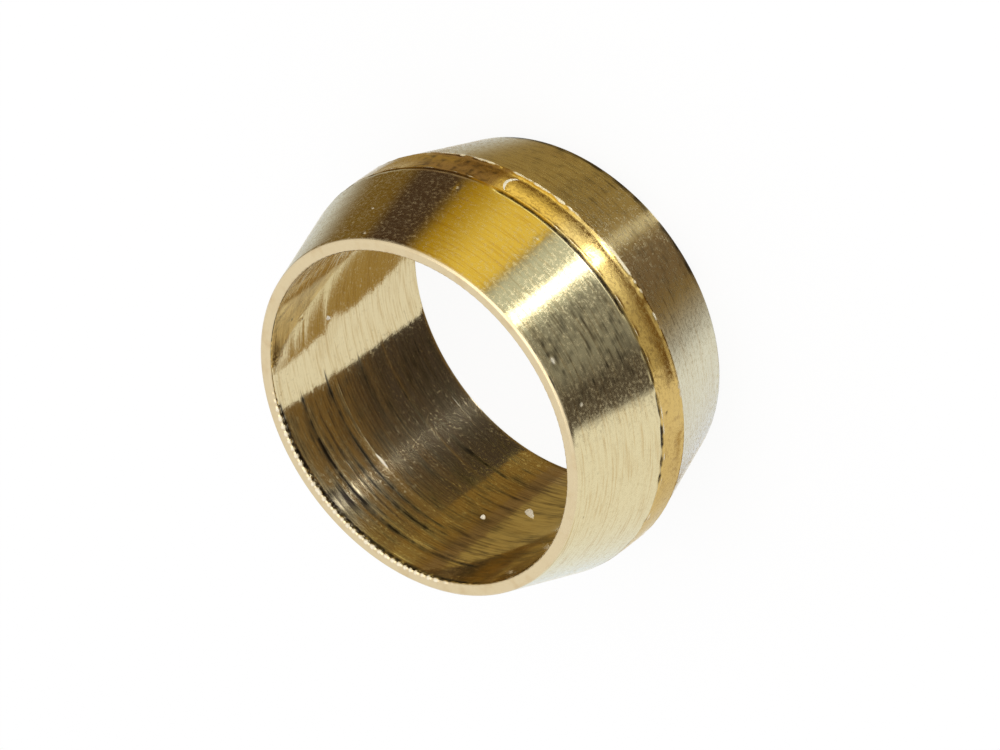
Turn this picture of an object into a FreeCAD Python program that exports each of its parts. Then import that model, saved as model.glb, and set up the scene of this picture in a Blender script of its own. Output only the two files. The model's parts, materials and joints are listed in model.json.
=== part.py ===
"""Compression olive for 12 mm pipe: a turned brass ring with two sealing cones.

The ring slides onto the pipe. A nut drives it into the mouth of a fitting, and the two
cones squeeze its thin ends onto the pipe. Between the cones a narrow land keeps the
outside of the bar that the ring was turned from.

The ring stands on its rear end. The origin is the centre of that end face, and +Z runs
up the bore to the nose end. Lengths are in millimetres.
"""
import FreeCAD
import Part
import Sketcher
import os

# Driving sizes: name, value and what it measures
DIMENSIONS = [
    ("pipe_diameter", 12.0, "outside diameter of the pipe"),
    ("pipe_clearance", 0.05, "gap between the pipe and the bore, all round"),
    ("end_wall", 0.40, "wall at each end face"),
    ("land_wall", 1.45, "wall under the land"),
    ("ring_length", 8.0, "from end face to end face"),
    ("land_width", 1.2, "land, along the axis"),
    ("bore_chamfer", 0.06, "edge break at both mouths of the bore"),
    ("rim_radius", 0.06, "rounding of the outer edge at both ends"),
]

BORE_RADIUS = "dimensions.pipe_diameter / 2 + dimensions.pipe_clearance"

# A circular edge belongs to a radius when it is this close to it
EDGE_TOLERANCE = 1e-6

# Sketch point numbers, and the sketch's own origin and horizontal axis
START = 1
STOP = 2
ORIGIN = -1
HORIZONTAL_AXIS = -1


def make_sheet(doc):
    """Write one row for each driving size."""
    sheet = doc.addObject("Spreadsheet::Sheet", "dimensions")
    for row, (alias, value, meaning) in enumerate(DIMENSIONS, start=1):
        sheet.set(f"A{row}", alias)
        sheet.set(f"B{row}", str(value))
        sheet.setAlias(f"B{row}", alias)
        sheet.set(f"C{row}", meaning)
    doc.recompute()
    return sheet


def origin_plane(body, role):
    """Return the body's own origin plane of that role."""
    return next(plane for plane in body.Origin.OriginFeatures if plane.Role == role)


def section_corners(sheet):
    """List the section's corners from the foot of the bore round to its top."""
    bore = sheet.pipe_diameter / 2 + sheet.pipe_clearance
    rim = bore + sheet.end_wall
    land = bore + sheet.land_wall
    land_start = (sheet.ring_length - sheet.land_width) / 2
    land_stop = (sheet.ring_length + sheet.land_width) / 2
    corners = [
        (bore, 0),
        (rim, 0),
        (land, land_start),
        (land, land_stop),
        (rim, sheet.ring_length),
        (bore, sheet.ring_length),
    ]
    return [FreeCAD.Vector(radius, height, 0) for radius, height in corners]


def add_size(sketch, name, expression, kind, *ends):
    """Give two points of the sketch a named distance that follows the driving sizes."""
    distance = sketch.evalExpression(expression)
    index = sketch.addConstraint(Sketcher.Constraint(kind, *ends, distance))
    sketch.renameConstraint(index, name)
    sketch.setExpression(f"Constraints.{name}", expression)


def half_section(body, sheet):
    """Draw the section on one side of the axis: two rims, two cones, the land and the bore."""
    corners = section_corners(sheet)
    next_corners = corners[1:] + corners[:1]
    sketch = body.newObject("Sketcher::SketchObject", "half_section")
    sketch.AttachmentSupport = (origin_plane(body, "XZ_Plane"), [""])
    sketch.MapMode = "FlatFace"
    sides = sketch.addGeometry([Part.LineSegment(*ends) for ends in zip(corners, next_corners)])
    rear_rim, rear_cone, land, nose_cone, nose_rim, bore = sides

    for side, next_side in zip(sides, sides[1:] + sides[:1]):
        sketch.addConstraint(Sketcher.Constraint("Coincident", side, STOP, next_side, START))
    for end_face in (rear_rim, nose_rim):
        sketch.addConstraint(Sketcher.Constraint("Horizontal", end_face))
    for cylinder in (land, bore):
        sketch.addConstraint(Sketcher.Constraint("Vertical", cylinder))
    sketch.addConstraint(Sketcher.Constraint("PointOnObject", rear_rim, START, HORIZONTAL_AXIS))
    sketch.addConstraint(Sketcher.Constraint("Equal", rear_rim, nose_rim))
    sketch.addConstraint(Sketcher.Constraint("Equal", rear_cone, nose_cone))

    add_size(sketch, "bore_radius", BORE_RADIUS, "DistanceX", ORIGIN, START, rear_rim, START)
    add_size(sketch, "end_wall", "dimensions.end_wall", "DistanceX", rear_rim, START, rear_rim, STOP)
    add_size(sketch, "land_wall", "dimensions.land_wall", "DistanceX", rear_rim, START, land, START)
    add_size(sketch, "land_width", "dimensions.land_width", "DistanceY", land, START, land, STOP)
    add_size(sketch, "ring_length", "dimensions.ring_length", "DistanceY", bore, STOP, bore, START)
    return sketch


def circles_of(feature, radius):
    """Name the feature's circular edges of that radius."""
    return [
        f"Edge{number}"
        for number, edge in enumerate(feature.Shape.Edges, start=1)
        if isinstance(edge.Curve, Part.Circle) and abs(edge.Curve.Radius - radius) < EDGE_TOLERANCE
    ]


def make_olive(doc, sheet):
    """Turn the section about the axis, then break the edges at both ends."""
    body = doc.addObject("PartDesign::Body", "olive")
    body.Label = "olive"
    body.Placement = FreeCAD.Placement()
    section = half_section(body, sheet)
    doc.recompute()

    turned = body.newObject("PartDesign::Revolution", "turned_ring")
    turned.Profile = section
    turned.ReferenceAxis = (section, ["V_Axis"])
    turned.Angle = 360
    doc.recompute()

    bore_radius = section.getDatum("bore_radius").Value
    bore_mouths = body.newObject("PartDesign::Chamfer", "bore_mouths")
    bore_mouths.Base = (turned, circles_of(turned, bore_radius))
    bore_mouths.setExpression("Size", "dimensions.bore_chamfer")
    doc.recompute()

    rim_radius = bore_radius + section.getDatum("end_wall").Value
    outer_rims = body.newObject("PartDesign::Fillet", "outer_rims")
    outer_rims.Base = (bore_mouths, circles_of(bore_mouths, rim_radius))
    outer_rims.setExpression("Radius", "dimensions.rim_radius")
    doc.recompute()
    return body


def check(doc, body):
    """Stop if any object failed, or if the ring is not one valid solid."""
    for item in doc.Objects:
        if "Invalid" in item.State or "Error" in item.State:
            raise RuntimeError(f"{item.Label} did not build: {item.State}")
    if body.Shape.isNull() or not body.Shape.isValid() or len(body.Shape.Solids) != 1:
        raise RuntimeError(f"{body.Label} is not one valid solid")


def main():
    doc = FreeCAD.newDocument("compression_olive")
    sheet = make_sheet(doc)
    olive = make_olive(doc, sheet)
    check(doc, olive)
    os.makedirs("parts", exist_ok=True)
    olive.Shape.exportStep(os.path.join("parts", f"{olive.Label}.step"))
    print(olive.Label, "volume", round(olive.Shape.Volume, 3), olive.Shape.BoundBox)


main()
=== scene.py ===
"""Looks of a compression olive: a turned brass ring with fine tool lines, small burrs and a raw land.

The ring stands on its rear end. A turn of 0 degrees faces the camera, and turns grow towards
+X. Lengths are in millimetres until a mesh is made from them, and in metres after that.
"""
import json
import math
from collections import namedtuple

import bpy
import numpy as np
from mathutils import Matrix, Vector


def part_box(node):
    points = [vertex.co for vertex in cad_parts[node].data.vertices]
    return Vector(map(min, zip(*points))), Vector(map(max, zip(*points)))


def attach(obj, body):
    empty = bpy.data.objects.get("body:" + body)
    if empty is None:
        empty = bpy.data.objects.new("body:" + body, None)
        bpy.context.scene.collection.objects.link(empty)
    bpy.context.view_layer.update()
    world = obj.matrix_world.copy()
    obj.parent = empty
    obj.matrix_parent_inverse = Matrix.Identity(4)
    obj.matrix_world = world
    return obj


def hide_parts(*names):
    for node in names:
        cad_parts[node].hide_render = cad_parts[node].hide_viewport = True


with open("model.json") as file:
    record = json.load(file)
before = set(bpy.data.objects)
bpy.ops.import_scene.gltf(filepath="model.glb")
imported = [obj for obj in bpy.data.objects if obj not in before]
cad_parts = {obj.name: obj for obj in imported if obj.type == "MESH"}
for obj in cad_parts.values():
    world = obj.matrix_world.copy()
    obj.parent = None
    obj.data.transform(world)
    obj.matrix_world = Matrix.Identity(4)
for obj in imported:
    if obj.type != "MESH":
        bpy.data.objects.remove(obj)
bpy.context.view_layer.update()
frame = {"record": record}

METRE = 0.001

# Sizes of the ring, from the frame where it gives them
NODE = "olive"
box_low, box_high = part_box(NODE)
pipe_bore = next(mount for mount in frame["record"]["mounts"] if mount["name"] == "pipe_bore")
LENGTH = (box_high[2] - box_low[2]) / METRE
OUTSIDE_RADIUS = box_high[1] / METRE
BORE_RADIUS = pipe_bore["dims"]["r_mm"]
END_WALL = 0.40
LAND_WIDTH = 1.2
EDGE_BREAK = 0.06
RIM_RADIUS = BORE_RADIUS + END_WALL
LAND_FOOT = (LENGTH - LAND_WIDTH) / 2
LAND_TOP = (LENGTH + LAND_WIDTH) / 2

# Burrs stand up to just under the ring's full size, so the surfaces below them lie a little lower
LIP_HEIGHT = 0.05
TOOTH_HEIGHT = 0.09
BURR_RADIUS = OUTSIDE_RADIUS - 0.001
LAND_RADIUS = OUTSIDE_RADIUS - LIP_HEIGHT
NOSE_HEIGHT = LENGTH - 0.5 * TOOTH_HEIGHT
BORE_FOOT = EDGE_BREAK
BORE_TOP = NOSE_HEIGHT - EDGE_BREAK
# Degrees from tooth to tooth
TOOTH_PITCH = 2.6

# Heights and depths of the finish
CONE_RINGS = 0.0010
BORE_RINGS = 0.0012
DRAW_LINES = 0.0010
LAND_CROWN = 0.02
LAND_GROOVE = 0.006
CREVICE = 0.06
FLARE = 0.010
# The bore's flare ends this far behind the nose, and fades over this length
FLARE_END = 0.95
FLARE_FADE = 0.7

# The photograph's camera: its angles, and the pixel and scale at which it shows the nose face
IMAGE_SIZE = (1000, 750)
VIEW_ELEVATION = math.radians(42.12)
VIEW_ROLL = math.radians(126.21)
NOSE_PIXEL = (415.4, 420.1)
PIXELS_PER_MM = 30.77
VIEW_DISTANCE = 273.0
SENSOR_WIDTH = 36.0

# Mesh resolution around the ring
TURN_STEPS = 704
TURNS = np.degrees(np.linspace(-np.pi, np.pi, TURN_STEPS, endpoint=False))
# Where stations lie, by shares of a stretch, closer together at its edges
FRONT_CONE_SHARES = [*np.linspace(0, 1, 25, endpoint=False), 0.985]
LAND_SHARES = [0, 0.035, 0.075, 0.12, *np.linspace(0.2, 0.8, 9), 0.86, 0.90, 0.94, 0.975]
REAR_CONE_SHARES = [0, 0.02, *np.linspace(0.05, 0.97, 17), 0.985]
# Even steps along the bore, how far they keep from a score, and the stations close to its two mouths
BORE_STEPS = 30
SCORE_GAP = 0.06
FOOT_STATION = 0.02
MOUTH_STATIONS = (0.20, 0.12, 0.05)
# Stations closer than this get lower tool rings
RING_GAP = 0.13
# Corners of a face, by steps along the section and round the ring
FACE_CORNERS = [(0, 0), (1, 0), (1, 1), (0, 1)]

# Surfaces of the ring, each with a finish of its own
RIM, CONE, LAND, BORE = range(4)

# Every draw of the relief's random numbers follows from this seed
SEED = 12

# Stretches round the ring: first turn, last turn, and over how many degrees each end fades
TEETH = (150, 232, 16)
# Where shade is painted between, under and beside the teeth
TOOTH_GAPS = (146, 240, 14)
MOUTH_SHADOW = (146, 250, 14)
MOUTH_DOTS = (100, 150, 12)
DARK_NOSE_EDGE = (-34, 6, 6)
# Where the crevice beside the land gets painted shade, clear and broken
OPEN_CREVICE = (-10, 37, 3)
BROKEN_CREVICE = (-58, -30, 4)
HIGH_LIP = (-14, 60, 12)
# Where the groove before the land's rear lip gets painted shade
GROOVED_LAND = (-28, 38, 8)
DIRTY_LAND = (37, 68, 6)
DIRTY_FRONT_CONE = (-27, 4, 8)
DIRTY_REAR_CONE = (-24, 54, 10)
# Painted shade along the rear edge, and a painted glint on it where the lamp is mirrored
DARK_REAR_EDGE = (-16, 64, 12)
REAR_EDGE_GLINT = (5.0, 9.0, 1.2)
# Painted shade on the rear mouth and the bore's far side, most in a spot where the lamp is mirrored
DARK_REAR_MOUTH = (148, 245, 10)
SHADED_FAR_BORE = (154, 262, 5)
SHADED_LAMP_SPOT = (181, 194, 4)
# Painted light on the bore's +X side
LIGHTENED_BORE = (84, 118, 24)

# Scores round the bore: millimetres behind the nose, first and last turn, width, depth, and how much they are
# darkened; raised ones get a painted highlight
BORE_SCORES = [
    (1.28, 150, 238, 0.20, 0.003, 1.0),
    (1.80, 176, 200, 0.03, -0.001, 0.0),
    (2.15, 178, 216, 0.15, 0.003, 0.95),
    (2.62, 148, 216, 0.11, 0.002, 0.95),
    (3.05, 152, 187, 0.025, -0.001, 0.0),
    (4.35, 150, 176, 0.10, 0.002, 0.75),
    (5.60, 164, 200, 0.08, 0.002, 0.70),
    (6.20, 182, 216, 0.13, 0.003, 1.0),
    (7.05, 148, 172, 0.07, 0.002, 0.85),
    (7.30, 179, 195, 0.03, -0.002, 0.0),
]
# Degrees over which each end of a score fades
SCORE_FADE = 6

# Nicks: turn, millimetres behind the nose, half sizes in degrees round and in millimetres along,
# depth and how dark they are; those with none get a painted highlight and painted shade at one end
OUTSIDE_NICKS = [
    (-9.4, 0.50, 1.6, 0.10, 0.012, 0.0),
    (-24.4, 0.76, 1.0, 0.10, 0.012, 0.0),
    (63.0, 0.37, 0.8, 0.08, 0.010, 0.0),
    (67.0, 1.54, 0.8, 0.08, 0.010, 0.0),
    (46.0, 2.90, 0.9, 0.10, 0.012, 0.0),
    (19.0, 2.77, 1.0, 0.08, 0.010, 0.0),
    (-60.6, 0.52, 0.6, 0.08, 0.008, 0.6),
    (-46.6, 0.85, 0.6, 0.08, 0.008, 0.7),
    (-38.0, 3.75, 0.5, 0.06, 0.008, 0.8),
]
BORE_NICKS = [
    (123.0, 1.15, 0.7, 0.07, 0.010, 0.9),
    (126.0, 1.75, 0.7, 0.07, 0.010, 0.9),
]
# The painted shade beside a nick's painted highlight lies this many half sizes round from its middle
DARK_END = 1.4


def at_turn(radius, turn, height):
    """Place points, in metres, by their radius, their turn in radians and their height."""
    return np.stack([radius * np.sin(turn), -radius * np.cos(turn), height], -1) * METRE


def turn_window(first, last, blur):
    """Rise from 0 to 1 at the first turn and fall again at the last, both over the blur."""
    middle, half = (first + last) / 2, (last - first) / 2
    away = np.abs((TURNS - middle + 180) % 360 - 180)
    return np.clip((half - away) / blur + 0.5, 0, 1)


def turn_noise(random, step):
    """Noise between -1 and 1 that changes every few degrees and closes round the ring."""
    count = round(360 / step)
    values = random.uniform(-1, 1, count)
    place = (TURNS + 180) / 360 * count
    cell = np.floor(place).astype(int)
    share = place - cell
    share = share * share * (3 - 2 * share)
    return values[cell % count] * (1 - share) + values[(cell + 1) % count] * share


class Section:
    """The ring's section as stations, from the nose's inner edge over the outside and back up the bore."""

    def __init__(self):
        self.stations = []
        self.rows = {}
        cone_lean = (LAND_RADIUS - RIM_RADIUS) / LAND_FOOT
        edge_radius = RIM_RADIUS + cone_lean * EDGE_BREAK
        nose_inner = (BORE_RADIUS + EDGE_BREAK, NOSE_HEIGHT)
        nose_outer = (RIM_RADIUS - EDGE_BREAK, NOSE_HEIGHT)
        cone_top = (edge_radius, NOSE_HEIGHT - EDGE_BREAK)
        land_top = (LAND_RADIUS, LAND_TOP)
        land_foot = (LAND_RADIUS, LAND_FOOT)
        cone_foot = (edge_radius, EDGE_BREAK)
        rear_outer = (RIM_RADIUS - EDGE_BREAK, 0)
        rear_inner = (BORE_RADIUS + EDGE_BREAK, 0)
        bore_foot = (BORE_RADIUS, BORE_FOOT)
        bore_top = (BORE_RADIUS, BORE_TOP)
        self.run("nose_face", nose_inner, nose_outer, self.even_shares(6), RIM)
        self.run("nose_round", nose_outer, cone_top, self.even_shares(3), RIM)
        self.run("front_cone", cone_top, land_top, FRONT_CONE_SHARES, CONE)
        self.run("land", land_top, land_foot, LAND_SHARES, LAND)
        self.run("rear_cone", land_foot, cone_foot, REAR_CONE_SHARES, CONE)
        self.run("rear_round", cone_foot, rear_outer, self.even_shares(3), RIM)
        self.run("rear_face", rear_outer, rear_inner, self.even_shares(4), RIM)
        self.run("rear_mouth", rear_inner, bore_foot, self.even_shares(2), BORE)
        self.run("bore", bore_foot, bore_top, self.bore_shares(), BORE)
        self.run("nose_mouth", bore_top, nose_inner, self.even_shares(3), RIM)
        columns = np.array([station[:4] for station in self.stations]).T
        self.radius, self.height, self.out_radius, self.out_height = columns
        self.surface = [station[4] for station in self.stations]
        self.behind = LENGTH - self.height

    def run(self, name, start, stop, shares, surface):
        """Add a straight stretch of stations; shares say how far along each of them lies."""
        first = len(self.stations)
        along = np.subtract(stop, start)
        outward = np.array([-along[1], along[0]]) / np.hypot(*along)
        for share in shares:
            self.stations.append((*(np.asarray(start) + share * along), *outward, surface))
        self.rows[name] = slice(first, len(self.stations))

    @staticmethod
    def even_shares(count):
        return np.linspace(0, 1, count, endpoint=False)

    @staticmethod
    def bore_shares():
        """Place stations in the middle and at both sides of every score, and evenly between them."""
        heights = [LENGTH - behind + side * width
                   for behind, _, _, width, _, _ in BORE_SCORES for side in (-1, 0, 1)]
        for height in np.linspace(BORE_FOOT, BORE_TOP, BORE_STEPS + 1)[:-1]:
            if min(abs(height - other) for other in heights) > SCORE_GAP:
                heights.append(height)
        heights += [BORE_FOOT, BORE_FOOT + FOOT_STATION, *(BORE_TOP - below for below in MOUTH_STATIONS)]
        return [(height - BORE_FOOT) / (BORE_TOP - BORE_FOOT) for height in sorted(set(heights))]


class Relief:
    """Height of the finish over the plain section, where grime and painted shade darken it, and where
    highlights are painted on it.
    """

    def __init__(self, section):
        self.section = section
        self.random = np.random.default_rng(SEED)
        shape = (len(section.stations), TURN_STEPS)
        self.lift = np.zeros(shape)
        self.grime_and_shade = np.zeros(shape)
        self.painted_highlight = np.zeros(shape)

    def noise(self, step):
        return turn_noise(self.random, step)

    def darken(self, rows, share):
        """Darken rows, for grime and for painted shade alike, where they are not darker already."""
        self.grime_and_shade[rows] = np.maximum(self.grime_and_shade[rows], share)

    def paint_highlight(self, rows, share):
        """Paint a highlight on rows, where they are not brighter already."""
        self.painted_highlight[rows] = np.maximum(self.painted_highlight[rows], share)

    def tool_rings(self):
        """Ripple the turned surfaces, less where stations lie close, so that no ripple is steep."""
        for stretch, height in (("front_cone", CONE_RINGS), ("rear_cone", CONE_RINGS), ("bore", BORE_RINGS)):
            rows = self.section.rows[stretch]
            rings = self.random.normal(0, height, rows.stop - rows.start)
            rings *= np.clip(np.abs(np.gradient(self.section.behind[rows])) / RING_GAP, 0, 1)
            self.lift[rows] += rings[:, None]

    def nose_teeth(self):
        """Raise scalloped burrs on the nose's inner edge, where the facing tool left the bore; paint
        highlights on them and shade in the gaps between them.
        """
        mouth, face, bore = (self.section.rows[name] for name in ("nose_mouth", "nose_face", "bore"))
        phase = TURNS + 0.9 * self.noise(6)
        scallop = np.clip(0.25 + np.cos(2 * np.pi * phase / TOOTH_PITCH), 0, 1) ** 0.7
        uneven = 0.75 + 0.25 * self.noise(TOOTH_PITCH)
        strong = 0.10 + 0.90 * turn_window(*TEETH)
        tooth = scallop * uneven * strong
        self.lift[bore.stop - 1] += 0.6 * TOOTH_HEIGHT * tooth
        self.lift[mouth] += TOOTH_HEIGHT * np.outer([0.9, 1.0, 0.8], tooth)
        self.lift[face] += 0.5 * TOOTH_HEIGHT * np.outer([1.0, 0.2, 0, 0, 0, 0], tooth)
        # Painted highlights on the teeth
        bright = strong * (0.45 + 0.75 * scallop) * uneven
        self.paint_highlight(mouth, np.outer([0.8, 1.0, 1.0], bright))
        self.paint_highlight(face, np.outer([1.0, 0.6, 0, 0, 0, 0], tooth))
        # Painted shade in the gaps between the teeth
        gaps = turn_window(*TOOTH_GAPS) * (1 - scallop)
        self.darken(mouth.start, 0.9 * gaps)

    def nose_shadow(self):
        """Paint shade in the bore under the teeth, and dots of painted shade along the edge beside them."""
        mouth, bore = self.section.rows["nose_mouth"], self.section.rows["bore"]
        dots = self.noise(1.7)
        shadow = turn_window(*MOUTH_SHADOW) * np.clip(0.9 + 0.5 * dots, 0, 1)
        self.darken(slice(bore.stop - 3, bore.stop), np.outer([0.5, 1.0, 0.8], shadow))
        self.darken(mouth.start, 0.9 * turn_window(*MOUTH_DOTS) * np.clip(0.6 + 0.7 * dots, 0, 1))

    def darken_nose_edge(self):
        """Darken a stretch of the nose's outer edge in dashes."""
        dashes = np.clip(0.5 + 0.6 * self.noise(2.2), 0, 1)
        self.darken(self.section.rows["front_cone"].start, 0.8 * turn_window(*DARK_NOSE_EDGE) * dashes)

    def bore_mouth(self):
        """Flare the nose end of the bore, as the reamer's lead did."""
        rows = self.section.rows["bore"]
        share = np.clip((FLARE_END - self.section.behind[rows]) / FLARE_FADE, 0, 1)
        self.lift[rows] -= FLARE * share[:, None] * (0.7 + 0.3 * self.noise(9))

    def land_front_edge(self):
        """Cut the crevice beside the land's front edge and paint shade in it, and roll up a low lip behind it
        with a painted highlight.
        """
        first = self.section.rows["land"].start
        dashes = np.clip(0.7 + 0.8 * self.noise(3), 0, 1)
        clear = turn_window(*OPEN_CREVICE) * (0.9 + 0.1 * self.noise(4))
        crevice = np.maximum.reduce([0.4 * dashes, clear, turn_window(*BROKEN_CREVICE) * dashes])
        self.lift[first] -= CREVICE * crevice
        # Painted shade in the crevice
        self.darken(first - 1, 0.55 * crevice)
        self.darken(first, np.sqrt(crevice))
        self.darken(first + 1, 0.7 * crevice)
        lip = 0.5 + 0.5 * self.noise(2.5)
        self.lift[first + 2] += 0.3 * LIP_HEIGHT * lip
        # A painted highlight on the lip
        self.paint_highlight(first + 2, 0.7 * lip)

    def land_rear_edge(self):
        """Roll up the burred lip at the land's rear edge with painted highlights, with a shallow groove
        before it that has painted shade.
        """
        end = self.section.rows["land"].stop
        lip = 0.55 + 0.3 * self.noise(4) + 0.3 * self.noise(1.3)
        lip = np.clip(lip * (0.45 + 0.65 * turn_window(*HIGH_LIP)), 0, 1)
        # Painted highlights along the lip
        for step, share in ((-4, 0.15), (-3, 0.5), (-2, 0.9), (-1, 1.0), (0, 0.5)):
            self.lift[end + step] += share * LIP_HEIGHT * lip
            self.paint_highlight(end + step, share * lip)
        groove = turn_window(*GROOVED_LAND) * np.clip(0.5 + 0.8 * self.noise(5), 0, 1)
        self.lift[end - 5] -= LAND_GROOVE * groove
        # Painted shade in the groove
        self.darken(end - 5, 0.6 * groove)

    def rear_edge(self):
        """Paint shade along the rear edge, but for a painted glint where the lamp is mirrored."""
        rows = self.section.rows["rear_round"]
        bright = turn_window(*REAR_EDGE_GLINT)
        dark = turn_window(*DARK_REAR_EDGE) * (1 - bright) * (0.8 + 0.2 * self.noise(2))
        self.darken(slice(rows.start - 2, rows.stop), np.outer([1.0, 1.0, 1.0, 1.0, 0.6], dark))
        self.paint_highlight(rows, np.outer([1.0, 1.0, 0.5], bright))

    def land_draw_lines(self):
        """Crown the raw land a little and score it along the bar, as it came from the drawing die."""
        rows = self.section.rows["land"]
        share = (self.section.height[rows] - LAND_FOOT) / LAND_WIDTH
        self.lift[rows] += (LAND_CROWN * 4 * share * (1 - share))[:, None]
        lines = 0.6 * self.noise(1.1) + 0.4 * self.noise(2.9)
        for row in range(rows.start + 3, rows.stop - 3):
            self.lift[row] += DRAW_LINES * (lines + 0.5 * self.noise(1.4))

    def dent(self, rows, turn, behind, half_turn, half_length, depth, grime_and_shade):
        """Press in a nick with a raised edge, darkened all over, or else with a painted highlight and painted
        shade at one end.
        """
        across = ((TURNS - turn + 180) % 360 - 180) / half_turn
        along = (self.section.behind[rows] - behind) / half_length
        away = along[:, None] ** 2 + across[None, :] ** 2
        self.lift[rows] += depth * (0.8 * np.exp(-0.6 * away) - 1.8 * np.exp(-1.6 * away))
        if grime_and_shade:
            self.darken(rows, grime_and_shade * np.exp(-away))
        else:
            # A painted highlight on the nick, and painted shade at one end of it
            from_end = along[:, None] ** 2 + (across[None, :] - DARK_END) ** 2
            self.darken(rows, 0.6 * np.exp(-2 * from_end))
            self.paint_highlight(rows, 0.62 * np.exp(-away))

    def nicks(self):
        """Press every nick into the surface on which it lies."""
        outside = slice(self.section.rows["front_cone"].start, self.section.rows["rear_cone"].stop)
        for rows, nicks in ((outside, OUTSIDE_NICKS), (self.section.rows["bore"], BORE_NICKS)):
            for nick in nicks:
                self.dent(rows, *nick)

    def bore_scores(self):
        """Cut the scores into the bore and darken them, or raise them where their depth is below nought and
        paint a highlight on them.
        """
        rows = self.section.rows["bore"]
        for behind, first, last, width, depth, grime_and_shade in BORE_SCORES:
            across = np.clip(1 - np.abs(self.section.behind[rows] - behind) / (0.9 * width), 0, 1)
            ragged = np.clip(0.9 + 0.3 * self.noise(9.0) + 0.2 * self.noise(1.6), 0, 1)
            score = np.outer(across, turn_window(first, last, SCORE_FADE) * ragged)
            self.lift[rows] -= depth * score
            self.darken(rows, grime_and_shade * score)
            self.paint_highlight(rows, 0.45 * (depth < 0) * score)

    def paint_bore_shade_and_light(self):
        """Paint shade in streaks on the far side of the bore, more in a spot near the nose where the lamp is
        mirrored, paint its +X side lighter, and paint shade on the far side of the rear mouth.
        """
        rows = self.section.rows["bore"]
        for row in range(rows.start, rows.stop):
            streaks = 0.40 + 0.20 * self.noise(14) + 0.14 * self.noise(3)
            # Painted shade over the lamp's reflection near the nose
            streaks += 0.30 * (self.section.behind[row] < FLARE_END) * turn_window(*SHADED_LAMP_SPOT)
            self.darken(row, turn_window(*SHADED_FAR_BORE) * np.clip(streaks, 0, 1))
        # Painted light on the +X side
        for row in range(rows.start, rows.stop):
            lightened = 0.38 + 0.05 * self.noise(7)
            self.paint_highlight(row, lightened * turn_window(*LIGHTENED_BORE))
        # Painted shade on the rear mouth
        self.darken(self.section.rows["rear_mouth"], turn_window(*DARK_REAR_MOUTH))

    def land_dirt(self):
        """Dirty one end of the land, more in some spots than in others."""
        rows = self.section.rows["land"]
        lines = self.noise(1.1)
        for row in range(rows.start + 2, rows.stop - 4):
            dirt = 0.40 + 0.20 * self.noise(1.2) + 0.14 * lines
            self.darken(row, turn_window(*DIRTY_LAND) * np.clip(dirt, 0, 1))

    def cone_dirt(self):
        """Dirty the darker side of each cone in small spots."""
        for name, stretch, mean in (
            ("front_cone", DIRTY_FRONT_CONE, 0.36), ("rear_cone", DIRTY_REAR_CONE, 0.26)
        ):
            rows = self.section.rows[name]
            for row in range(rows.start + 2, rows.stop - 2):
                spots = 0.78 * self.noise(1.6) + 0.33 * self.noise(5)
                self.darken(row, turn_window(*stretch) * np.clip(mean * (1 + spots), 0, 1))

    def make(self):
        self.tool_rings()
        self.nose_teeth()
        self.nose_shadow()
        self.darken_nose_edge()
        self.bore_mouth()
        self.land_front_edge()
        self.land_rear_edge()
        self.rear_edge()
        self.land_draw_lines()
        self.nicks()
        self.bore_scores()
        self.paint_bore_shade_and_light()
        self.land_dirt()
        self.cone_dirt()


def smooth_mesh(name, places, faces):
    """Make a smoothly shaded mesh of places, in metres, and of the faces between them."""
    mesh = bpy.data.meshes.new(name)
    mesh.from_pydata(places.reshape(-1, 3).tolist(), [], faces)
    mesh.polygons.foreach_set("use_smooth", np.ones(len(faces), bool))
    mesh.update()
    return mesh


def add_piece(name, mesh):
    """Put a piece of brass on the root body, in place of the plain solid."""
    piece = bpy.data.objects.new(name, mesh)
    bpy.context.collection.objects.link(piece)
    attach(piece, "root")
    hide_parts(NODE)


def ring_places(section, lift):
    """Turn the lifted section about the axis, no larger than the ring's full size."""
    radius = section.radius[:, None] + section.out_radius[:, None] * lift
    height = section.height[:, None] + section.out_height[:, None] * lift
    radius = np.clip(radius, None, BURR_RADIUS)
    height = np.clip(height, 0, LENGTH)
    return at_turn(radius, np.radians(TURNS), height)


def unwrap_ring(mesh, section, row, column):
    """Lay the ring out flat: turns run across, and the length of the section runs up."""
    corners = np.stack([section.radius, section.height], -1)
    steps = np.hypot(*(np.roll(corners, -1, axis=0) - corners).T)
    along = np.concatenate([[0], np.cumsum(steps)]) / steps.sum()
    flat = np.stack(
        [np.stack([(column + b) / TURN_STEPS, along[row + a]], -1) for a, b in FACE_CORNERS], -2
    )
    mesh.uv_layers.new(name="OFBake").data.foreach_set("uv", flat.ravel())


def make_ring():
    """Make the closed ring, with its relief, its grime and painted shade, its painted highlights and
    unwrapped coordinates.
    """
    section = Section()
    relief = Relief(section)
    relief.make()
    count = len(section.stations)
    row, column = np.meshgrid(np.arange(count), np.arange(TURN_STEPS), indexing="ij")
    faces = np.stack(
        [(row + a) % count * TURN_STEPS + (column + b) % TURN_STEPS for a, b in FACE_CORNERS], -1
    ).reshape(-1, 4)
    mesh = smooth_mesh("olive_finish", ring_places(section, relief.lift), faces.tolist())
    mesh.polygons.foreach_set("material_index", np.repeat(section.surface, TURN_STEPS))
    unwrap_ring(mesh, section, row, column)
    for name, shares in (("grime_and_shade", relief.grime_and_shade), ("painted_highlight", relief.painted_highlight)):
        layer = mesh.attributes.new(name, "FLOAT", "POINT")
        layer.data.foreach_set("value", np.clip(shares, 0, 1).ravel())
    mesh.update()
    for finish in FINISHES:
        mesh.materials.append(finish_material(finish))
    add_piece("olive_finish", mesh)


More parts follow.
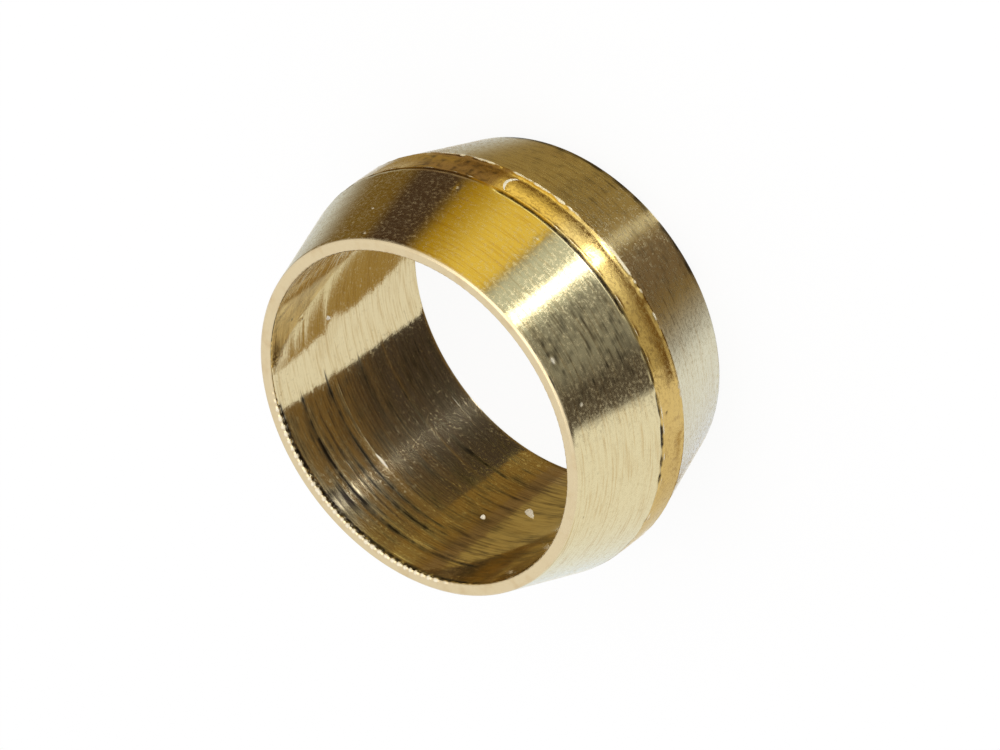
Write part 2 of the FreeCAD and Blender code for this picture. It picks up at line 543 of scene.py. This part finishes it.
# Slivers of metal that the tools left standing: name, the radius they stand on, which way
# they stand up, their line by turns and millimetres behind the nose, half width and height
Sliver = namedtuple("Sliver", "name radius outward line half_width height")
SLIVERS = [
    Sliver("land_burr", LAND_RADIUS, 1,
           [(34.6, 4.31), (35.5, 4.24), (36.2, 4.12), (36.5, 3.98), (36.3, 3.82), (35.7, 3.66), (34.9, 3.55)],
           0.09, 0.045),
    Sliver("bore_leaf", BORE_RADIUS, -1,
           [(229.4, 5.02), (230.6, 4.99), (231.8, 4.94), (233.0, 4.86), (234.4, 4.74)], 0.11, 0.15),
    Sliver("bore_grain_left", BORE_RADIUS, -1,
           [(131.7, 3.13), (132.2, 3.15), (132.8, 3.15), (133.3, 3.14)], 0.07, 0.09),
    Sliver("bore_grain_right", BORE_RADIUS, -1,
           [(219.9, 3.87), (220.4, 3.91), (220.9, 3.92), (221.4, 3.90)], 0.08, 0.10),
    Sliver("bore_thread", BORE_RADIUS, -1,
           [(181.0, 3.03), (183.0, 3.05), (185.0, 3.05), (186.8, 3.07)], 0.04, 0.05),
]
SLIVER_STEPS = 24
# Their section, by shares of the half width and of the height: a long slope up to a steep edge
SLIVER_SECTION = [(-1, 0), (-0.6, 0.25), (-0.2, 0.5), (0.2, 0.76), (0.5, 0.94), (0.68, 1), (0.85, 0.85),
                  (1, 0), (0.4, -0.2), (-0.4, -0.2)]


def sliver_places(sliver):
    """Sweep the section along the sliver's line, thinner towards both ends."""
    share = np.linspace(0, len(sliver.line) - 1, SLIVER_STEPS)
    turn, behind = (np.interp(share, range(len(sliver.line)), values) for values in zip(*sliver.line))
    flat = np.stack([np.radians(turn) * sliver.radius, behind], -1)
    along = np.gradient(flat, axis=0)
    along /= np.linalg.norm(along, axis=1)[:, None]
    across = np.stack([-along[:, 1], along[:, 0]], -1)
    swell = np.sin(np.pi * np.linspace(0.02, 0.98, SLIVER_STEPS)) ** 0.7
    side, up = np.array(SLIVER_SECTION).T
    side = sliver.half_width * swell[:, None] * side
    up = sliver.height * swell[:, None] * up
    flat = flat[:, None] + across[:, None] * side[..., None]
    reach = np.minimum(sliver.radius + sliver.outward * up, BURR_RADIUS)
    return at_turn(reach, flat[..., 0] / sliver.radius, LENGTH - flat[..., 1])


def make_slivers():
    """Make every sliver a closed piece of its own."""
    rings = np.arange(SLIVER_STEPS * len(SLIVER_SECTION)).reshape(SLIVER_STEPS, -1)
    beside = np.roll(rings, -1, axis=1)
    faces = np.stack([rings[:-1], beside[:-1], beside[1:], rings[1:]], -1).reshape(-1, 4).tolist()
    faces += [rings[0, ::-1].tolist(), rings[-1].tolist()]
    for sliver in SLIVERS:
        mesh = smooth_mesh(sliver.name, sliver_places(sliver), faces)
        mesh.materials.append(finish_material(BURR))
        add_piece(sliver.name, mesh)


def add_node(tree, kind, values=None, **settings):
    """Add a node, with its settings and the values or links of its inputs."""
    node = tree.nodes.new(kind)
    for name, value in settings.items():
        setattr(node, name, value)
    for name, value in (values or {}).items():
        if isinstance(value, bpy.types.NodeSocket):
            tree.links.new(value, node.inputs[name])
        else:
            node.inputs[name].default_value = value
    return node


def calculate(tree, operation, first, second=0.0):
    return add_node(tree, "ShaderNodeMath", {0: first, 1: second}, operation=operation).outputs[0]


def ramp(tree, value, start, stop, low=0.0, high=1.0, smooth=True):
    """Go from low to high while a value goes from start to stop."""
    values = {"Value": value, "From Min": start, "From Max": stop, "To Min": low, "To Max": high}
    kind = "SMOOTHSTEP" if smooth else "LINEAR"
    return add_node(tree, "ShaderNodeMapRange", values, interpolation_type=kind).outputs[0]


def mix_colours(tree, share, first, second):
    """Mix two colours, each a socket or three numbers."""
    mix = add_node(tree, "ShaderNodeMix", {"Factor": share}, data_type="RGBA")
    # The node has inputs of the same name for each kind of data; 6, 7 and output 2 are for colours
    for number, colour in ((6, first), (7, second)):
        if isinstance(colour, bpy.types.NodeSocket):
            tree.links.new(colour, mix.inputs[number])
        else:
            mix.inputs[number].default_value = (*colour, 1)
    return mix.outputs[2]


# A finish has a colour of its own, a patina that comes in between two heights of its strokes, and pits that
# come in between two heights of a pattern of theirs. Its lines, strokes and grain are patterns by their
# cells per metre in x, y and z, with depths in metres. Its line share is how much more its gloss spreads
# one way than the other.
Finish = namedtuple("Finish", "name colour patina patina_from patina_to pit_from pit_to pit_dark pit_rough "
                              "rough line_share lines line_depth strokes stroke_depth grain grain_depth")
FINISHES = [
    Finish(
        name="faced_rim", colour=(0.84, 0.70, 0.425), rough=0.30, line_share=0.0,
        patina=(0.74, 0.57, 0.31), patina_from=0.45, patina_to=0.85,
        pit_from=0.46, pit_to=0.78, pit_dark=0.05, pit_rough=0.45,
        lines=(6000, 6000, 6000), line_depth=0.8e-6,
        strokes=(1500, 1500, 1500), stroke_depth=1.0e-6,
        grain=(14000, 14000, 14000), grain_depth=1.2e-6,
    ),
    Finish(
        name="turned_cone", colour=(0.86, 0.73, 0.43), rough=0.14, line_share=0.75,
        patina=(0.72, 0.55, 0.28), patina_from=0.45, patina_to=0.75,
        pit_from=0.44, pit_to=0.82, pit_dark=0.10, pit_rough=0.44,
        lines=(150, 150, 20000), line_depth=0.6e-6,
        strokes=(700, 700, 16000), stroke_depth=0.6e-6,
        grain=(11000, 11000, 11000), grain_depth=0.7e-6,
    ),
    Finish(
        name="raw_land", colour=(0.76, 0.52, 0.17), rough=0.12, line_share=0.5,
        patina=(0.50, 0.31, 0.10), patina_from=0.50, patina_to=0.85,
        pit_from=0.46, pit_to=0.78, pit_dark=0.20, pit_rough=0.38,
        lines=(9000, 9000, 500), line_depth=1.2e-6,
        strokes=(3500, 3500, 3500), stroke_depth=1.7e-6,
        grain=(11000, 11000, 11000), grain_depth=1.2e-6,
    ),
    Finish(
        name="drilled_bore", colour=(0.82, 0.68, 0.40), rough=0.08, line_share=0.50,
        patina=(0.68, 0.52, 0.27), patina_from=0.42, patina_to=0.75,
        pit_from=0.56, pit_to=0.78, pit_dark=0.14, pit_rough=0.26,
        lines=(220, 220, 18000), line_depth=0.4e-6,
        strokes=(900, 900, 14000), stroke_depth=0.5e-6,
        grain=(11000, 11000, 11000), grain_depth=0.7e-6,
    ),
]
# The slivers are near white: a painted highlight over their brass
BURR = Finish(
    name="burr_highlight", colour=(0.98, 0.95, 0.86), rough=0.8, line_share=0.0,
    patina=(0.86, 0.74, 0.46), patina_from=0.5, patina_to=0.8,
    pit_from=0.5, pit_to=0.8, pit_dark=0.1, pit_rough=0.8,
    lines=(6000, 6000, 6000), line_depth=1.0e-6,
    strokes=(9000, 9000, 9000), stroke_depth=2.0e-6,
    grain=(14000, 14000, 14000), grain_depth=1.5e-6,
)
# How much each finer step of a pattern adds
FINER_SHARE = 0.6
# The gloss is turned by this share of a full turn from the direction that runs round the ring
QUARTER_TURN = 0.25

# Pits, grime and painted shade, and painted highlights are alike on every finish
PIT = (0.16, 0.10, 0.055)
PIT_CELLS = (8000, 8000, 11000)
# Dark brown, with its roughness, for grime and for painted shade
GRIME_AND_SHADE = (0.030, 0.022, 0.016)
GRIME_AND_SHADE_ROUGH = 0.22
# Near-white brass, with its roughness, for painted highlights and glints
HIGHLIGHT_COLOUR = (0.97, 0.91, 0.74)
HIGHLIGHT_ROUGH = 0.8
# The share of the strokes that is added to grime and painted shade and to painted highlights, and between
# which sums they come in
RAGGED = 0.8
GRIME_AND_SHADE_EDGE = (0.60, 1.40)
HIGHLIGHT_EDGE = (0.66, 1.06)


def add_pattern(tree, place, cells, detail):
    """Noise between 0 and 1, with so many cells per metre in x, y and z."""
    spread = add_node(tree, "ShaderNodeMapping", {"Vector": place, "Scale": cells}).outputs[0]
    values = {"Vector": spread, "Scale": 1.0, "Detail": detail, "Roughness": FINER_SHARE}
    return add_node(tree, "ShaderNodeTexNoise", values).outputs["Fac"]


def ragged_layer(tree, name, strokes, edge):
    """Read a layer of the mesh, with edges that follow the strokes."""
    layer = add_node(tree, "ShaderNodeAttribute", attribute_name=name).outputs["Fac"]
    values = {0: strokes, 1: RAGGED, 2: layer}
    layer = add_node(tree, "ShaderNodeMath", values, operation="MULTIPLY_ADD").outputs[0]
    return ramp(tree, layer, *edge)


def turn_gloss(tree, shader, line_share):
    """Spread the gloss one way more than the other, by directions that run round the ring."""
    shader.inputs["Anisotropic"].default_value = line_share
    shader.inputs["Anisotropic Rotation"].default_value = QUARTER_TURN
    tangent = add_node(tree, "ShaderNodeTangent", direction_type="RADIAL", axis="Z")
    tree.links.new(tangent.outputs["Tangent"], shader.inputs["Tangent"])


def add_bumps(tree, shader, bumps):
    """Raise the surface by patterns, each with its depth."""
    normal = None
    for height, depth in bumps:
        bump = add_node(tree, "ShaderNodeBump", {"Height": height, "Distance": depth, "Strength": 1.0})
        if normal:
            tree.links.new(normal, bump.inputs["Normal"])
        normal = bump.outputs["Normal"]
    tree.links.new(normal, shader.inputs["Normal"])


def finish_material(finish):
    """Brass with lines, strokes and grain left by the tools, with pits, grime and painted shade, and painted
    highlights.
    """
    material = bpy.data.materials.new(finish.name)
    material.use_nodes = True
    tree = material.node_tree
    shader = tree.nodes["Principled BSDF"]
    place = add_node(tree, "ShaderNodeTexCoord").outputs["Object"]
    lines = add_pattern(tree, place, finish.lines, 1.0)
    strokes = add_pattern(tree, place, finish.strokes, 2.0)
    grain = add_pattern(tree, place, finish.grain, 1.0)
    patina = ramp(tree, strokes, finish.patina_from, finish.patina_to)
    pits = add_pattern(tree, place, PIT_CELLS, 2.0)
    pits = ramp(tree, pits, finish.pit_from, finish.pit_to, smooth=False)
    pit_share = ramp(tree, pits, 0.0, 1.0, high=finish.pit_dark, smooth=False)
    # Painted highlights, and grime with painted shade, from the mesh's layers
    painted_highlight = ragged_layer(tree, "painted_highlight", strokes, HIGHLIGHT_EDGE)
    grime_and_shade = ragged_layer(tree, "grime_and_shade", strokes, GRIME_AND_SHADE_EDGE)

    colour = finish.colour
    for share, other in ((patina, finish.patina), (pit_share, PIT), (painted_highlight, HIGHLIGHT_COLOUR), (grime_and_shade, GRIME_AND_SHADE)):
        colour = mix_colours(tree, share, colour, other)
    tree.links.new(colour, shader.inputs["Base Color"])
    rough = finish.rough
    for share, other in ((pits, finish.pit_rough), (painted_highlight, HIGHLIGHT_ROUGH), (grime_and_shade, GRIME_AND_SHADE_ROUGH)):
        rough = ramp(tree, share, 0.0, 1.0, rough, other, smooth=False)
    tree.links.new(rough, shader.inputs["Roughness"])
    shader.inputs["Metallic"].default_value = 1.0
    if finish.line_share:
        turn_gloss(tree, shader, finish.line_share)
    depths = (finish.line_depth, finish.stroke_depth, finish.grain_depth)
    add_bumps(tree, shader, zip((lines, strokes, grain), depths))
    return material


# What the ring mirrors, by the turn and the lean of the surface that mirrors it to the camera.
# An edge's turn is the one at no lean, and the slant moves it by so many degrees for each of lean.
Panel = namedtuple("Panel", "name left left_blur right right_blur low high lean_blur slant colour")
WHITE = (1.0, 1.0, 1.0)
# The backdrop's edge, by the cosine of the angle from straight behind the ring, and its blur
BACKDROP_EDGE = (0.985, 0.012)
ROOM = (0.060, 0.037, 0.025)
PANELS = [
    Panel("grey room", -60, 4, -8, 14, -90, 90, 1, 0, (0.088, 0.075, 0.067)),
    Panel("haze", -17, 10, 19, 6, -6, 60, 10, 0, (0.246, 0.249, 0.236)),
    Panel("olive", 62, 6, 90, 10, -6, 60, 10, 0, (0.165, 0.105, 0.022)),
    Panel("deep gold", 18, 3, 44.8, 8, -6, 60, 10, 0, (0.41, 0.26, 0.012)),
    Panel("gold card", 19, 4, 35, 16, -6, 60, 10, 0, (0.80, 0.60, 0.105)),
    Panel("glow", 2, 6, 17, 5, -6, 60, 10, 0, (0.56, 0.62, 0.60)),
    Panel("band grey", -30, 6, 8, 16, -8, 8, 6, 0, (0.54, 0.52, 0.41)),
    Panel("band brown", 34, 10, 66, 8, -8, 8, 6, 0, (0.30, 0.225, 0.15)),
    Panel("band pale", 65, 10, 100, 8, -8, 8, 6, 0, (0.56, 0.53, 0.42)),
    Panel("band gold", 14, 12, 38, 5, -8, 8, 6, 0, (1.16, 1.08, 0.54)),
    Panel("band glow", -4, 16, 18, 10, -8, 8, 6, 0, (1.40, 1.50, 1.50)),
    Panel("low brown", -24, 30, 90, 14, -90, -8, 8, 0, (0.302, 0.221, 0.083)),
    Panel("low dusk", -15, 16, 4, 8, -90, -8, 8, 0, (0.175, 0.125, 0.075)),
    Panel("low pale", 56, 22, 90, 20, -90, -8, 8, 0, (0.40, 0.37, 0.28)),
    Panel("low lamp", 5.2, 1.6, 8.8, 1.6, -90, -8, 8, 0, (0.62, 0.57, 0.42)),
    Panel("lamp", 5.2, 1.0, 8.4, 1.2, -8, 60, 8, 0, (4.4, 4.4, 4.3)),
    Panel("land lamp", 4.2, 1.2, 9.2, 1.2, -8, 8, 6, 0, (6.4, 6.8, 7.6)),
    Panel("lamp foot", 5.0, 2, 9.0, 2, -60, -28, 10, 0, (3.0, 3.0, 2.9)),
    Panel("left wall", -170, 20, -26.5, 1.6, -9, 90, 8, -0.26, (0.85, 0.87, 0.88)),
    Panel("low left", -170, 20, -24, 22, -90, -9, 8, 0, (0.78, 0.86, 1.02)),
    Panel("cool left", -170, 20, -80, 40, -90, 90, 1, 0, (0.84, 0.95, 1.10)),
    Panel("band left", -170, 20, -52, 24, -8, 8, 6, 0, (0.75, 0.73, 0.60)),
    Panel("right wall", 71, 18, 170, 20, -90, 90, 1, 0.76, (0.66, 0.70, 0.72)),
    Panel("ceiling", -400, 1, 400, 1, 36, 120, 20, 0, (0.85, 0.84, 0.87)),
]


def step_up(tree, value, at, blur):
    return ramp(tree, value, at - blur / 2, at + blur / 2)


def step_down(tree, value, at, blur):
    return ramp(tree, value, at - blur / 2, at + blur / 2, low=1.0, high=0.0)


def mirroring_surface(tree, where, away):
    """Find the turn and the lean of the surface that mirrors a direction back along the view."""
    half = add_node(tree, "ShaderNodeVectorMath", {0: where, 1: away}, operation="SUBTRACT").outputs[0]
    half = add_node(tree, "ShaderNodeVectorMath", {0: half}, operation="NORMALIZE").outputs[0]
    axes = add_node(tree, "ShaderNodeSeparateXYZ", {0: half}).outputs
    near = calculate(tree, "MULTIPLY", axes["Y"], -1.0)
    turn = calculate(tree, "DEGREES", calculate(tree, "ARCTAN2", axes["X"], near))
    lean = calculate(tree, "DEGREES", calculate(tree, "ARCSINE", axes["Z"]))
    return turn, lean


def paint_panels(tree, turn, lean):
    """Paint the panels over the room, each over those before it."""
    colour = ROOM
    for panel in PANELS:
        across = turn
        if panel.slant:
            moved = calculate(tree, "MULTIPLY", lean, panel.slant)
            across = calculate(tree, "SUBTRACT", turn, moved)
        share = step_up(tree, across, panel.left, panel.left_blur)
        for bound in (
            step_down(tree, across, panel.right, panel.right_blur),
            step_up(tree, lean, panel.low, panel.lean_blur),
            step_down(tree, lean, panel.high, panel.lean_blur),
        ):
            share = calculate(tree, "MULTIPLY", share, bound)
        colour = mix_colours(tree, share, colour, panel.colour)
    return colour


def make_studio():
    """Paint the surroundings that the ring mirrors; straight behind the ring they are white."""
    world = bpy.data.worlds.new("studio")
    bpy.context.scene.world = world
    world.use_nodes = True
    tree = world.node_tree
    away = (0, math.cos(VIEW_ELEVATION), -math.sin(VIEW_ELEVATION))
    where = add_node(tree, "ShaderNodeTexCoord").outputs["Generated"]
    colour = paint_panels(tree, *mirroring_surface(tree, where, away))
    ahead = add_node(tree, "ShaderNodeVectorMath", {0: where, 1: away}, operation="DOT_PRODUCT")
    backdrop = step_up(tree, ahead.outputs["Value"], *BACKDROP_EDGE)
    colour = mix_colours(tree, backdrop, colour, WHITE)
    path = add_node(tree, "ShaderNodeLightPath").outputs
    seen = calculate(tree, "MAXIMUM", path["Is Camera Ray"], path["Is Transmission Ray"])
    colour = mix_colours(tree, seen, colour, WHITE)
    tree.links.new(colour, tree.nodes["Background"].inputs["Color"])


def glowing_material(name, colour, share, under_kind, under_values=None):
    """Mix a colour that shines by itself, by its share, over another shader."""
    material = bpy.data.materials.new(name)
    material.use_nodes = True
    tree = material.node_tree
    tree.nodes.remove(tree.nodes["Principled BSDF"])
    under = add_node(tree, under_kind, under_values)
    glow = add_node(tree, "ShaderNodeEmission", {"Color": (*colour, 1), "Strength": 1.0})
    mix = add_node(tree, "ShaderNodeMixShader", {0: share, 1: under.outputs[0], 2: glow.outputs[0]})
    tree.links.new(mix.outputs[0], tree.nodes["Material Output"].inputs["Surface"])
    return material


# The floor, in metres from edge to edge, with its paint and the share that shines white by itself
FLOOR_SIZE = 2
FLOOR_PAINT = (0.98, 0.98, 0.98, 1)
FLOOR_GLOW = 0.90


def make_floor():
    """Lay a white floor that keeps the ring's shadow, and that the ring does not mirror."""
    bpy.ops.mesh.primitive_plane_add(size=FLOOR_SIZE)
    floor = bpy.context.object
    floor.name = "floor"
    floor.visible_glossy = False
    floor.visible_shadow = False
    paint = {"Color": FLOOR_PAINT}
    floor.data.materials.append(glowing_material("floor", WHITE, FLOOR_GLOW, "ShaderNodeBsdfDiffuse", paint))


# Cards under the ring for its bore to mirror: name, depth below the ring, inner radius, outer radius at
# the first and at the last turn, these turns, how far the last turn moves on from the inner to the outer
# edge, colour, and how much of the studio behind it the card hides
Shade = namedtuple("Shade", "name depth inner outer_first outer_last first last slant colour share")
SHADES = [
    Shade("dark_shade", 30.0, 20.0, 33.4, 33.4, -59, 63, 0, (0.052, 0.040, 0.036), 0.993),
    Shade("umber_shade", 30.0, 33.4, 43.3, 43.3, -59, 63, 0, (0.165, 0.105, 0.038), 0.993),
    Shade("gold_shade", 30.0, 26.0, 42.0, 42.0, 63, 88, 0, (0.205, 0.128, 0.036), 0.99),
    Shade("dusk_shade", 30.0, 28.0, 42.0, 42.0, 88, 100, 0, (0.19, 0.125, 0.055), 0.99),
    Shade("olive_shade", 30.0, 29.5, 42.0, 42.0, 100, 146, 0, (0.34, 0.255, 0.095), 0.99),
    Shade("brown_shade", 30.0, 29.5, 36.0, 40.2, -146, -108, 24, (0.34, 0.235, 0.075), 1.0),
    Shade("white_floor", 2.0, 4.6, 5.4, 5.4, 212, 246, 0, (0.80, 0.80, 0.78), 1.0),
]
SHADE_STEPS = 60


def shade_mesh(shade):
    """Make a flat band between two arcs."""
    along = np.linspace(0, 1, SHADE_STEPS)
    outer = shade.outer_first + (shade.outer_last - shade.outer_first) * along ** 2
    corners = []
    for radius, last in ((shade.inner, shade.last), (outer, shade.last + shade.slant)):
        turn = np.radians(shade.first + (last - shade.first) * along)
        corners += at_turn(radius, turn, np.full_like(turn, -shade.depth)).tolist()
    faces = [(n, n + 1, n + 1 + SHADE_STEPS, n + SHADE_STEPS) for n in range(SHADE_STEPS - 1)]
    mesh = bpy.data.meshes.new(shade.name)
    mesh.from_pydata(corners, [], faces)
    return mesh


def make_shades():
    """Hang the cards under the floor, in the way of what the bore mirrors through its rear end."""
    for shade in SHADES:
        mesh = shade_mesh(shade)
        mesh.materials.append(
            glowing_material(shade.name, shade.colour, shade.share, "ShaderNodeBsdfTransparent")
        )
        card = bpy.data.objects.new(shade.name, mesh)
        bpy.context.collection.objects.link(card)
        card.visible_camera = False
        card.visible_diffuse = False
        card.visible_shadow = False
        card.visible_transmission = False


# The lamp: where it hangs and how wide it is, in metres, and its watts
LAMP_PLACE = (0.05, -0.15, 0.35)
LAMP_SIZE = 0.40
LAMP_WATTS = 0.5


def make_lamp():
    """Hang one wide soft lamp over the ring."""
    lamp = bpy.data.lights.new("overhead", "AREA")
    lamp.size = LAMP_SIZE
    lamp.energy = LAMP_WATTS
    item = bpy.data.objects.new("overhead", lamp)
    bpy.context.collection.objects.link(item)
    item.location = LAMP_PLACE
    item.rotation_euler = (-item.location).to_track_quat("-Z", "Y").to_euler()


def make_camera():
    """Look down on the ring as the photograph does, with the nose towards the lower left."""
    back = Vector((0, -math.cos(VIEW_ELEVATION), math.sin(VIEW_ELEVATION)))
    right = Vector((1, 0, 0))
    up = back.cross(right)
    roll = Matrix.Rotation(VIEW_ROLL, 3, -back)
    right, up = roll @ right, roll @ up
    aim = Vector((0, 0, LENGTH))
    aim += right * (IMAGE_SIZE[0] / 2 - NOSE_PIXEL[0]) / PIXELS_PER_MM
    aim -= up * (IMAGE_SIZE[1] / 2 - NOSE_PIXEL[1]) / PIXELS_PER_MM
    lens = bpy.data.cameras.new("camera")
    lens.sensor_width = SENSOR_WIDTH
    lens.lens = SENSOR_WIDTH * PIXELS_PER_MM * VIEW_DISTANCE / IMAGE_SIZE[0]
    lens.clip_start = VIEW_DISTANCE * METRE / 100
    lens.clip_end = VIEW_DISTANCE * METRE * 10
    camera = bpy.data.objects.new("camera", lens)
    bpy.context.collection.objects.link(camera)
    axes = Matrix((right, up, back)).transposed()
    camera.matrix_world = Matrix.Translation((aim + back * VIEW_DISTANCE) * METRE) @ axes.to_4x4()
    bpy.context.scene.camera = camera


bpy.context.scene.view_settings.view_transform = "Standard"
make_ring()
make_slivers()
make_studio()
make_floor()
make_shades()
make_lamp()
make_camera()
